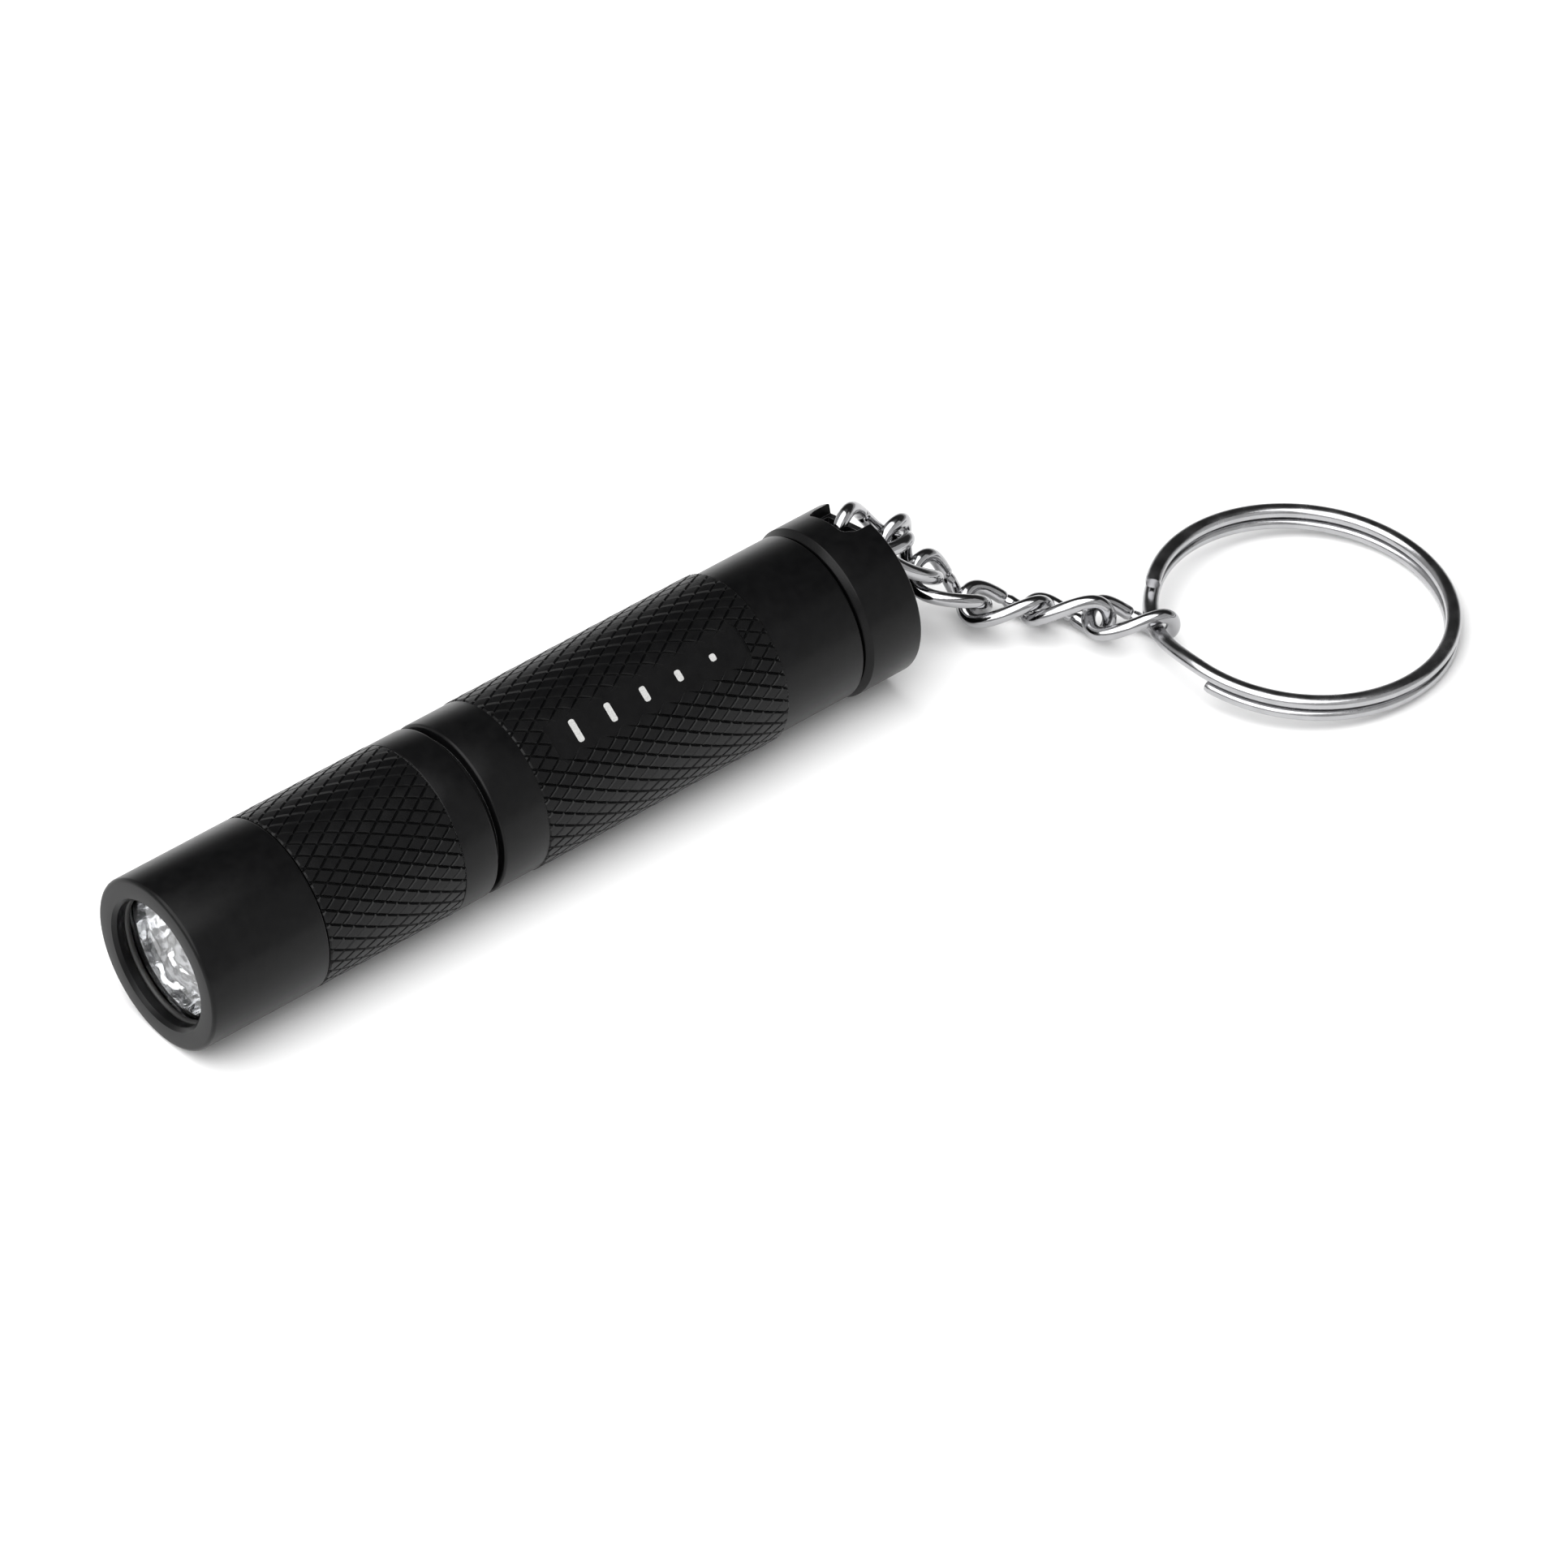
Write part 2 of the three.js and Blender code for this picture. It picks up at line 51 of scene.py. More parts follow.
AXIS_Z = 7.15 * MM  # height of the light's axis
FRONT_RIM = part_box("bezel_ring")[0].x
BEZEL_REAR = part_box("bezel_ring")[1].x
HEAD_SPIGOT_FRONT, HEAD_REAR = (corner.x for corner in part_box("head_sleeve"))
TUBE_SPIGOT_FRONT, BODY_REAR = (corner.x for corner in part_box("body_tube"))
CAP_SPIGOT_FRONT, CAP_REAR = (corner.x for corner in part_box("tail_cap"))
LENS_FRONT, LENS_REAR = (corner.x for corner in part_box("lens"))
REFLECTOR_FRONT, REFLECTOR_REAR = (corner.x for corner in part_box("reflector"))

HEAD_GRIP_REAR = -17.9 * MM
BODY_FRONT = -14.2 * MM
BODY_GRIP_FRONT = -9.9 * MM
BODY_GRIP_REAR = 13.5 * MM
CAP_FRONT = 21.5 * MM

GRIP_RADIUS = 7.15 * MM
HEAD_RADIUS = 7.1 * MM
COLLAR_RADIUS = 7.07 * MM
NECK_RADIUS = 6.9 * MM
BEZEL_BORE = 6.45 * MM
HEAD_BORE = 6.3 * MM
BOARD_BAY = 5.65 * MM
BOARD_SHOULDER = -28.33 * MM
HEAD_THREAD_SHOULDER = -26.1 * MM
HEAD_SPIGOT = 6.35 * MM
TUBE_SPIGOT = 6.2 * MM
CELL_BAY = 5.35 * MM
CAP_BORE = 6.2 * MM
CAP_BORE_FRONT = 18.3 * MM
CAP_SPIGOT = 6.05 * MM
SEAL_DEPTH = 0.4 * MM
SEAL_SECTION = 0.22 * MM
SEAL_CLEARANCE = 0.03 * MM
SEAL_GROOVE = 0.7 * MM  # length of a seal's groove
HEAD_SEAL_X = -16.25 * MM
TAIL_SEAL_X = 20.25 * MM

LENS_OPENING = 5.2 * MM
LIP_DEPTH = 1.0 * MM
LENS_RADIUS = 6.15 * MM
LENS_SEAL_SECTION = 0.28 * MM
FOCUS_X = -31.65 * MM
FOCAL_LENGTH = 0.8 * MM

KNURL_STARTS = 38
KNURL_ANGLE = 30
KNURL_DEPTH = 0.17 * MM
KNURL_GROOVE = 0.24 * MM
KNURL_CROWN = 0.012 * MM
KNURL_CHAMFER = 0.11 * MM

PAD_FRONT = -7.4 * MM
PAD_REAR = 11.4 * MM
PAD_WIDTH = 4.7 * MM
PAD_TURN = 37  # degrees about the light's axis from straight up
PAD_HEIGHT = 6.86 * MM  # of the milled flat above the light's axis

NOTCH_FRONT = 24.3 * MM
NOTCH_WIDTH = 5.2 * MM
NOTCH_TURN = -13
NOTCH_FLOOR = 5.75 * MM
BRIDGE_FRONT = 26.3 * MM
CUP_RADIUS = 4.6 * MM
CUP_FRONT = 23.2 * MM
CAP_POCKET_REAR = 22.0 * MM
CAP_POCKET = 4.6 * MM

WIRE = 1.15 * MM
LINK_LENGTH = 7.8 * MM
LINK_WIDTH = 5.0 * MM
LINK_TWIST = -52
LINK_PITCH = 5.0 * MM
LINK_SEAM = 0.03 * MM
TAIL_LINK_FALL = 30.5
TAIL_LINK_ROLL = 20
BRIDGE_TO_LINK_CENTRE = 2.1 * MM
CHAIN_LIE = [  # each link's fall below level, heading in plan and roll
    (60, -18, 15),
    (37, -44, -12),
    (5, -42, -22),
    (-4, -56, -47),
    (4, -45, -26),
]
RING_RADIUS = 11.85 * MM  # to the middle of the wire
RING_WIRE_WIDTH = 1.27 * MM
RING_WIRE_HEIGHT = 1.0 * MM
RING_LAYER = 1.12 * MM
RING_HEADING = -30
RING_FALL = 4.1
RING_LIFT = 0.61 * MM
RING_REACH = 11.15 * MM  # from the end of the chain to the ring's middle

RING_START = 190  # degrees round the ring: it starts on the lower coil and ends on the upper
RING_END = 852
RING_STEP_START = 504
RING_STEP_END = 545

CAMERA_AZIMUTH = -39.87
CAMERA_ELEVATION = 40.89
CAMERA_DISTANCE = 705.4 * MM
CAMERA_TARGET = (12.5 * MM, -7.66 * MM, 0)
CAMERA_LENS = 210.9
PANEL_DISTANCE = 0.9
PANEL_TARGET = (10 * MM, -6 * MM, 5 * MM)

FLOOR_GAP = 0.02 * MM

TURNED_STEPS = 192
SHARP_ANGLE = 32

# ---- Shader helpers ----


def new_material(name):
    material = bpy.data.materials.new(name)
    material.use_nodes = True
    return material, material.node_tree, material.node_tree.nodes["Principled BSDF"]


def add_node(tree, kind, **settings):
    node = tree.nodes.new(kind)
    for key, value in settings.items():
        setattr(node, key, value)
    return node


def noise_pattern(tree, size, detail, stretch=(1, 1, 1)):
    """Noise whose features are about this size in metres, longer by stretch along each axis."""
    coordinates = add_node(tree, "ShaderNodeTexCoord")
    mapping = add_node(tree, "ShaderNodeMapping")
    mapping.inputs["Scale"].default_value = [1 / (size * s) for s in stretch]
    tree.links.new(coordinates.outputs["Object"], mapping.inputs["Vector"])
    pattern = add_node(tree, "ShaderNodeTexNoise")
    pattern.inputs["Scale"].default_value = 1.0
    pattern.inputs["Detail"].default_value = detail
    tree.links.new(mapping.outputs["Vector"], pattern.inputs["Vector"])
    return pattern.outputs["Fac"]


def spread(tree, source, low, high, start=0.3, end=0.7):
    """The source's range from start to end becomes low to high."""
    node = add_node(tree, "ShaderNodeMapRange")
    node.inputs["From Min"].default_value = start
    node.inputs["From Max"].default_value = end
    node.inputs["To Min"].default_value = low
    node.inputs["To Max"].default_value = high
    tree.links.new(source, node.inputs["Value"])
    return node.outputs["Result"]


def mixed_colours(tree, factor, first, second):
    node = add_node(tree, "ShaderNodeMix", data_type="RGBA")
    tree.links.new(factor, node.inputs["Factor"])
    for socket, colour in ((node.inputs[6], first), (node.inputs[7], second)):
        if isinstance(colour, bpy.types.NodeSocket):
            tree.links.new(colour, socket)
        else:
            socket.default_value = (*colour, 1)
    return node.outputs[2]


def bumped(tree, height, distance, after=None):
    node = add_node(tree, "ShaderNodeBump")
    node.inputs["Distance"].default_value = distance
    node.inputs["Strength"].default_value = 1.0
    tree.links.new(height, node.inputs["Height"])
    if after is not None:
        tree.links.new(after, node.inputs["Normal"])
    return node.outputs["Normal"]


def edge_mask(tree, radius):
    """1 on sharp edges and 0 on open surfaces, from how far a rounded normal leans away."""
    bevel = add_node(tree, "ShaderNodeBevel", samples=6)
    bevel.inputs["Radius"].default_value = radius
    geometry = add_node(tree, "ShaderNodeNewGeometry")
    dot = add_node(tree, "ShaderNodeVectorMath", operation="DOT_PRODUCT")
    tree.links.new(bevel.outputs["Normal"], dot.inputs[0])
    tree.links.new(geometry.outputs["Normal"], dot.inputs[1])
    return spread(tree, dot.outputs["Value"], 1.0, 0.0, 0.80, 0.985)


# ---- Materials ----


def anodised(name, wear_and_glint):
    """Satin black hard anodising: fine blasted grain, faint turning lines, edges painted lighter,
    partly worn metal and partly a painted highlight.
    """
    material, tree, shader = new_material(name)
    mottle = noise_pattern(tree, 0.9 * MM, 4.0)
    turning = noise_pattern(tree, 0.09 * MM, 1.0, (1, 40, 40))
    grain = noise_pattern(tree, 0.1 * MM, 2.0)
    deep = (0.0022, 0.0022, 0.0024)
    faded = (0.0036, 0.0036, 0.0038)
    dye = mixed_colours(tree, spread(tree, mottle, 0, 1), deep, faded)
    # Sharp edges get a lighter grey: partly worn metal, partly a painted highlight that stands in
    # for thin edge glints.
    edge_wear_and_glint = add_node(tree, "ShaderNodeMath", operation="MULTIPLY")
    tree.links.new(edge_mask(tree, 0.05 * MM), edge_wear_and_glint.inputs[0])
    tree.links.new(spread(tree, mottle, 0.35 * wear_and_glint, wear_and_glint), edge_wear_and_glint.inputs[1])
    colour = mixed_colours(tree, edge_wear_and_glint.outputs["Value"], dye, (0.28, 0.28, 0.285))
    tree.links.new(colour, shader.inputs["Base Color"])
    tree.links.new(spread(tree, mottle, 0.285, 0.32), shader.inputs["Roughness"])
    lines = bumped(tree, turning, 0.0012 * MM)
    tree.links.new(bumped(tree, grain, 0.004 * MM, lines), shader.inputs["Normal"])
    shader.inputs["IOR"].default_value = 1.3
    shader.inputs["Specular IOR Level"].default_value = 0.38
    return material


def plated(name, base, roughness, streaks):
    """Bright nickel plate: soft orange peel, drawn streaks and a little haze."""
    material, tree, shader = new_material(name)
    peel = noise_pattern(tree, 0.45 * MM, 2.0)
    haze = noise_pattern(tree, 1.6 * MM, 3.0)
    fine = noise_pattern(tree, 0.08 * MM, 2.0)
    darker = tuple(0.86 * part for part in base)
    colour = mixed_colours(tree, spread(tree, haze, 0, 1), darker, base)
    tree.links.new(colour, shader.inputs["Base Color"])
    tree.links.new(spread(tree, haze, roughness * 0.8, roughness * 1.4), shader.inputs["Roughness"])
    soft = bumped(tree, peel, 0.006 * MM)
    tree.links.new(bumped(tree, fine, streaks, soft), shader.inputs["Normal"])
    shader.inputs["Metallic"].default_value = 1.0
    return material


def grained(name, first, second, size, roughness, metallic=0.0, depth=0.002 * MM, coat=0.0):
    """Two close colours in a noise pattern, with roughness and a small relief that follow it."""
    material, tree, shader = new_material(name)
    pattern = noise_pattern(tree, size, 3.0)
    colour = mixed_colours(tree, spread(tree, pattern, 0, 1), first, second)
    tree.links.new(colour, shader.inputs["Base Color"])
    gloss = spread(tree, pattern, roughness * 0.85, roughness * 1.2)
    tree.links.new(gloss, shader.inputs["Roughness"])
    tree.links.new(bumped(tree, pattern, depth), shader.inputs["Normal"])
    shader.inputs["Metallic"].default_value = metallic
    shader.inputs["Coat Weight"].default_value = coat
    return material


def mirror_coat():
    """Vacuum-metallised plastic. Its orange peel is in the mesh; fine pits and haze are here."""
    material, tree, shader = new_material("reflector_coat")
    pits = noise_pattern(tree, 0.16 * MM, 3.0)
    haze = noise_pattern(tree, 0.8 * MM, 3.0)
    colour = mixed_colours(tree, spread(tree, haze, 0, 1), (0.52, 0.52, 0.53), (0.68, 0.68, 0.69))
    tree.links.new(colour, shader.inputs["Base Color"])
    tree.links.new(spread(tree, haze, 0.03, 0.09), shader.inputs["Roughness"])
    tree.links.new(bumped(tree, pits, 0.008 * MM), shader.inputs["Normal"])
    shader.inputs["Metallic"].default_value = 1.0
    return material


def window_glass():
    """Clear lens with the faint smear of a wiped surface."""
    material, tree, shader = new_material("window_glass")
    smear = noise_pattern(tree, 1.5 * MM, 3.0, (1, 3, 1))
    tree.links.new(spread(tree, smear, 0.0, 0.02), shader.inputs["Roughness"])
    shader.inputs["Base Color"].default_value = (0.98, 0.99, 0.99, 1)
    shader.inputs["Transmission Weight"].default_value = 1.0
    shader.inputs["IOR"].default_value = 1.46
    return material


def circuit_board(name, mask, copper):
    """Solder mask with buried tracks and round pads."""
    material, tree, shader = new_material(name)
    coordinates = add_node(tree, "ShaderNodeTexCoord")
    tracks = add_node(tree, "ShaderNodeTexBrick")
    tracks.inputs["Scale"].default_value = 1 / (2.4 * MM)
    tracks.inputs["Mortar Size"].default_value = 0.05
    turned_in = add_node(tree, "ShaderNodeMapping")
    turned_in.inputs["Rotation"].default_value = (0, math.radians(90), 0)
    tree.links.new(coordinates.outputs["Object"], turned_in.inputs["Vector"])
    tree.links.new(turned_in.outputs["Vector"], tracks.inputs["Vector"])
    lighter = tuple(min(1.0, 1.6 * part + 0.02) for part in mask)
    base = mixed_colours(tree, tracks.outputs["Fac"], mask, lighter)
    pads = add_node(tree, "ShaderNodeTexVoronoi")
    pads.inputs["Scale"].default_value = 1 / (1.7 * MM)
    tree.links.new(coordinates.outputs["Object"], pads.inputs["Vector"])
    pad_mask = spread(tree, pads.outputs["Distance"], 1.0, 0.0, 0.13, 0.16)
    tree.links.new(mixed_colours(tree, pad_mask, base, copper), shader.inputs["Base Color"])
    tree.links.new(spread(tree, pad_mask, 0.45, 0.25, 0, 1), shader.inputs["Roughness"])
    tree.links.new(bumped(tree, tracks.outputs["Fac"], 0.01 * MM), shader.inputs["Normal"])
    return material


def cell_wrap():
    """Plain shrink film: dark blue, with a pale band at the button end."""
    material, tree, shader = new_material("cell_wrap")
    geometry = add_node(tree, "ShaderNodeTexCoord")
    parts = add_node(tree, "ShaderNodeSeparateXYZ")
    tree.links.new(geometry.outputs["Object"], parts.inputs["Vector"])
    cell_front, cell_rear = (corner.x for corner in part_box("cell_sleeve"))
    band_end = cell_front + 0.22 * (cell_rear - cell_front)
    band = spread(tree, parts.outputs["X"], 1.0, 0.0, band_end, band_end + 0.1 * MM)
    wrinkle = noise_pattern(tree, 1.2 * MM, 3.0, (4, 1, 1))
    creased = spread(tree, wrinkle, 0, 1)
    film = mixed_colours(tree, creased, (0.012, 0.045, 0.12), (0.02, 0.07, 0.17))
    tree.links.new(mixed_colours(tree, band, film, (0.55, 0.53, 0.48)), shader.inputs["Base Color"])
    tree.links.new(spread(tree, wrinkle, 0.22, 0.36), shader.inputs["Roughness"])
    tree.links.new(bumped(tree, wrinkle, 0.01 * MM), shader.inputs["Normal"])
    return material


def make_materials():
    """The finishes, by name."""
    bright = (0.42, 0.42, 0.43)
    return {
        "smooth": anodised("anodised_smooth", 0.9),
        "grip": anodised("anodised_grip", 0.05),
        "chain": plated("chain_plate", bright, 0.11, 0.0006 * MM),
        "ring": plated("ring_plate", (0.44, 0.44, 0.45), 0.2, 0.001 * MM),
        "mirror": mirror_coat(),
        "glass": window_glass(),
        "rubber": grained(
            "seal_rubber", (0.010, 0.010, 0.010), (0.018, 0.018, 0.018), 0.2 * MM, 0.5
        ),
        "ink": grained(
            "laser_mark", (0.36, 0.36, 0.355), (0.50, 0.50, 0.49), 0.12 * MM, 0.6, depth=0.006 * MM
        ),
        "brass": grained(
            "contact_brass", (0.60, 0.42, 0.16), (0.80, 0.60, 0.28), 0.5 * MM, 0.25, metallic=1.0
        ),
        "spring": grained(
            "spring_wire", (0.50, 0.43, 0.30), (0.66, 0.58, 0.44), 0.3 * MM, 0.3, metallic=1.0
        ),
        "steel": grained(
            "cell_steel", (0.50, 0.50, 0.51), (0.62, 0.62, 0.63), 0.4 * MM, 0.28, metallic=1.0
        ),
        "nylon": grained("insulator_nylon", (0.66, 0.63, 0.55), (0.76, 0.74, 0.68), 0.5 * MM, 0.5),
        "package": grained("led_ceramic", (0.74, 0.73, 0.70), (0.82, 0.82, 0.80), 0.2 * MM, 0.45),
        "phosphor": grained(
            "led_phosphor", (0.80, 0.60, 0.06), (0.88, 0.72, 0.14), 0.3 * MM, 0.3, coat=1.0
        ),
        "moulded": grained(
            "moulded_epoxy", (0.014, 0.014, 0.014), (0.024, 0.024, 0.025), 0.08 * MM, 0.5
        ),
        "led_board": circuit_board("led_board_mask", (0.72, 0.72, 0.70), (0.80, 0.62, 0.35)),
        "driver": circuit_board("driver_mask", (0.012, 0.12, 0.035), (0.80, 0.60, 0.30)),
        "wrap": cell_wrap(),
    }


# ---- Mesh helpers ----


def around(angle):
    """The frame on the light's axis whose z points out at this many degrees from straight up."""
    return Matrix.Translation((0, 0, AXIS_Z)) @ Matrix.Rotation(math.radians(angle), 4, "X")


def rounded(corners, steps=5):
    """A closed outline of (x, y, fillet radius) corners, with its fillets as arcs."""
    outline = []
    for i, (x, y, radius) in enumerate(corners):
        corner = Vector((x, y))
        before = (Vector(corners[i - 1][:2]) - corner).normalized()
        after = (Vector(corners[(i + 1) % len(corners)][:2]) - corner).normalized()
        if not radius:
            outline.append(corner)
            continue
        half = before.angle(after) / 2
        centre = corner + (before + after).normalized() * (radius / math.sin(half))
        start = corner + before * (radius / math.tan(half)) - centre
        end = corner + after * (radius / math.tan(half)) - centre
        opening = math.pi - 2 * half
        for step in range(steps + 1):
            share = step / steps
            towards_start = math.sin((1 - share) * opening) / math.sin(opening)
            towards_end = math.sin(share * opening) / math.sin(opening)
            outline.append(centre + start * towards_start + end * towards_end)
    return outline


def add_turned(mesh, outline, closed=True, radius_at=None):
    """A solid of revolution about the light's axis, from (x, radius) points."""
    rings = []
    for x, radius in outline:
        if radius < 1e-9:
            rings.append([mesh.verts.new((x, 0, AXIS_Z))] * TURNED_STEPS)
            continue
        ring = []
        for step in range(TURNED_STEPS):
            angle = 2 * math.pi * step / TURNED_STEPS
            reach = radius if radius_at is None else radius_at(x, radius, angle)
            y = reach * math.cos(angle)
            z = AXIS_Z + reach * math.sin(angle)
            ring.append(mesh.verts.new((x, y, z)))
        rings.append(ring)
    pairs = zip(rings, rings[1:] + rings[:1] if closed else rings[1:])
    for first, second in pairs:
        for step in range(TURNED_STEPS):
            after = (step + 1) % TURNED_STEPS
            corners = [first[step], second[step], second[after], first[after]]
            distinct = list(dict.fromkeys(corners))
            if len(distinct) > 2:
                mesh.faces.new(distinct)


def add_prism(mesh, outline, low, high, placement):
    """An outline in the frame's x and y, drawn out along its z from low to high."""
    bottom = [mesh.verts.new(placement @ Vector((x, y, low))) for x, y in outline]
    top = [mesh.verts.new(placement @ Vector((x, y, high))) for x, y in outline]
    mesh.faces.new(bottom)
    mesh.faces.new(top)
    for i in range(len(outline)):
        mesh.faces.new([bottom[i - 1], bottom[i], top[i], top[i - 1]])


def add_sweep(mesh, stations):
    """A solid through a list of section loops, with flat ends."""
    loops = [[mesh.verts.new(point) for point in station] for station in stations]
    for first, second in zip(loops, loops[1:]):
        for i in range(len(first)):
            mesh.faces.new([first[i - 1], first[i], second[i], second[i - 1]])
    mesh.faces.new(loops[0])
    mesh.faces.new(loops[-1])


def make_object(name, mesh, *materials, sharp=SHARP_ANGLE):
    """The bmesh as an object: smooth, with edges sharper than this many degrees kept crisp."""
    bmesh.ops.recalc_face_normals(mesh, faces=mesh.faces)
    data = bpy.data.meshes.new(name)
    mesh.to_mesh(data)
    mesh.free()
    return shaded_object(name, data, materials, sharp)


def shaded_object(name, data, materials, sharp):
    for material in materials:
        data.materials.append(material)
    data.shade_smooth()
    data.set_sharp_from_angle(angle=math.radians(sharp))
    piece = bpy.data.objects.new(name, data)
    bpy.context.scene.collection.objects.link(piece)
    return piece


def cut(piece, *cutters):
    """Takes the cutters out of the piece, and removes them."""
    for cutter in cutters:
        boolean = piece.modifiers.new("cut", "BOOLEAN")
        boolean.operation = "DIFFERENCE"
        boolean.solver = "EXACT"
        boolean.object = cutter
    graph = bpy.context.evaluated_depsgraph_get()
    data = bpy.data.meshes.new_from_object(piece.evaluated_get(graph))
    piece.modifiers.clear()
    piece.data = data
    for cutter in cutters:
        bpy.data.objects.remove(cutter)
    data.shade_smooth()
    data.set_sharp_from_angle(angle=math.radians(SHARP_ANGLE))


def place(piece, body, slot, *nodes):
    """The piece rides on the body and stands for the CAD nodes. The slot is not used."""
    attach(piece, body)
    if nodes:
        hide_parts(*nodes)


# ---- The knurled grips ----


def make_knurl(front, rear, crest, bore):
    """A tube whose outside is cut by two crossing sets of V grooves, as its own bmesh."""
    mesh = bmesh.new()
    cell = 2 * math.pi * crest / KNURL_STARTS * math.cos(math.radians(KNURL_ANGLE))
    period = cell / math.sin(math.radians(KNURL_ANGLE))
    groove = KNURL_GROOVE / 2 / cell
    lines = (0, groove, 0.5, 1 - groove)
    per_cell = len(lines)
    wrap = per_cell * KNURL_STARTS
    middle = (front + rear) / 2
    made = {}

    def vertex(first, second):
        turns, first = divmod(first, wrap)
        second -= wrap * turns
        if (first, second) not in made:
            cell_a, line_a = divmod(first, per_cell)
            cell_b, line_b = divmod(second, per_cell)
            a = cell_a + lines[line_a]
            b = cell_b + lines[line_b]
            in_groove = line_a == 0 or line_b == 0
            middle_lines = (line_a == 2) + (line_b == 2)
            radius = crest - (KNURL_DEPTH if in_groove else KNURL_CROWN * (1 - middle_lines / 2))
            angle = math.pi * (a + b) / KNURL_STARTS
            place_x = middle + period * (a - b) / 2
            made[first, second] = mesh.verts.new(
                (place_x, radius * math.cos(angle), AXIS_Z + radius * math.sin(angle))
            )
        return made[first, second]

    reach = math.ceil((rear - front) / period) + 1
    for row in range(-reach, reach + 1):
        for start in range(KNURL_STARTS):
            for p in range(per_cell):
                for q in range(per_cell):
                    a = per_cell * start + p
                    b = per_cell * (start - row) + q
                    corners = [
                        vertex(a, b),
                        vertex(a + 1, b),
                        vertex(a + 1, b + 1),
                        vertex(a, b + 1),
                    ]
                    if p in (0, per_cell - 1) and q in (0, per_cell - 1):
                        first = 0 if p == q else 1
                        spin = corners[first:] + corners[:first]
                        mesh.faces.new([spin[0], spin[1], spin[2]])
                        mesh.faces.new([spin[0], spin[2], spin[3]])
                    else:
                        mesh.faces.new(corners)

    for plane, outward, ends_here in (
        (front, -1, True),
        (rear, 1, True),
        (front + KNURL_CHAMFER, -1, False),
        (rear - KNURL_CHAMFER, 1, False),
    ):
        bmesh.ops.bisect_plane(
            mesh,
            geom=[*mesh.verts, *mesh.edges, *mesh.faces],
            dist=1e-8,
            plane_co=(plane, 0, 0),
            plane_no=(outward, 0, 0),
            clear_outer=ends_here,
        )
    set_radii(
        mesh.verts,
        lambda x, radius: min(radius, crest - max(0, KNURL_CHAMFER - min(x - front, rear - x))),
    )

    inner = []
    for plane in (front, rear):
        rim = [
            edge
            for edge in mesh.edges
            if edge.is_boundary and all(abs(v.co.x - plane) < 1e-7 for v in edge.verts)
        ]
        grown = bmesh.ops.extrude_edge_only(mesh, edges=rim)["geom"]
        set_radii([g for g in grown if isinstance(g, bmesh.types.BMVert)], lambda x, radius: bore)
        inner += [g for g in grown if isinstance(g, bmesh.types.BMEdge) and g.is_boundary]
    bmesh.ops.bridge_loops(mesh, edges=inner)
    return mesh


def set_radii(verts, radius_for):
    """Moves points in or out from the light's axis to radius_for(x, radius)."""
    for vert in verts:
        radius = math.hypot(vert.co.y, vert.co.z - AXIS_Z)
        scale = radius_for(vert.co.x, radius) / radius
        vert.co.y *= scale
        vert.co.z = AXIS_Z + (vert.co.z - AXIS_Z) * scale


def joined(name, parts):
    """One object from several, which are removed. Each part keeps its own finish."""
    mesh = bmesh.new()
    materials = []
    for part in parts:
        first = len(mesh.faces)
        mesh.from_mesh(part.data)
        mesh.faces.ensure_lookup_table()
        for face in mesh.faces[first:]:
            face.material_index = len(materials)
        materials.append(part.data.materials[0])
        bpy.data.objects.remove(part)
    data = bpy.data.meshes.new(name)
    mesh.to_mesh(data)
    mesh.free()
    return shaded_object(name, data, materials, SHARP_ANGLE)


# ---- Head ----


def make_bezel(finish):
    lip_rear = FRONT_RIM + LIP_DEPTH
    chamfer = 0.3 * MM
    mesh = bmesh.new()
    add_turned(mesh, rounded([
        (FRONT_RIM, LENS_OPENING + chamfer, 0.04 * MM),
        (FRONT_RIM, HEAD_RADIUS, 0.32 * MM),
        (BEZEL_REAR, HEAD_RADIUS, 0.16 * MM),
        (BEZEL_REAR, BEZEL_BORE, 0),
        (lip_rear, BEZEL_BORE, 0),
        (lip_rear, LENS_OPENING, 0.05 * MM),
        (FRONT_RIM + chamfer, LENS_OPENING, 0.04 * MM),
    ]))
    place(make_object("front_bezel", mesh, finish), "head", "anodised_black", "bezel_ring")


def add_seal(mesh, x, radius, section):
    points = [Vector((math.cos(a), math.sin(a))) for a in (2 * math.pi * k / 20 for k in range(20))]
    add_turned(mesh, [Vector((x, radius)) + section * point for point in points])


def make_front_seal(finish):
    mesh = bmesh.new()
    x = FRONT_RIM + LIP_DEPTH + LENS_SEAL_SECTION + 0.02 * MM
    add_seal(mesh, x, LENS_OPENING - 0.12 * MM + LENS_SEAL_SECTION, LENS_SEAL_SECTION)
    place(make_object("front_seal", mesh, finish), "head", "seal_rubber", "lens_o_ring")


def make_window(finish):
    chamfer = 0.15 * MM
    mesh = bmesh.new()
    add_turned(mesh, [
        (LENS_FRONT, 0),
        (LENS_FRONT, LENS_RADIUS - chamfer),
        (LENS_FRONT + chamfer, LENS_RADIUS),
        (LENS_REAR - chamfer, LENS_RADIUS),
        (LENS_REAR, LENS_RADIUS - chamfer),
        (LENS_REAR, 0),
    ], closed=False)
    place(make_object("front_window", mesh, finish), "head", "lens_glass", "lens")


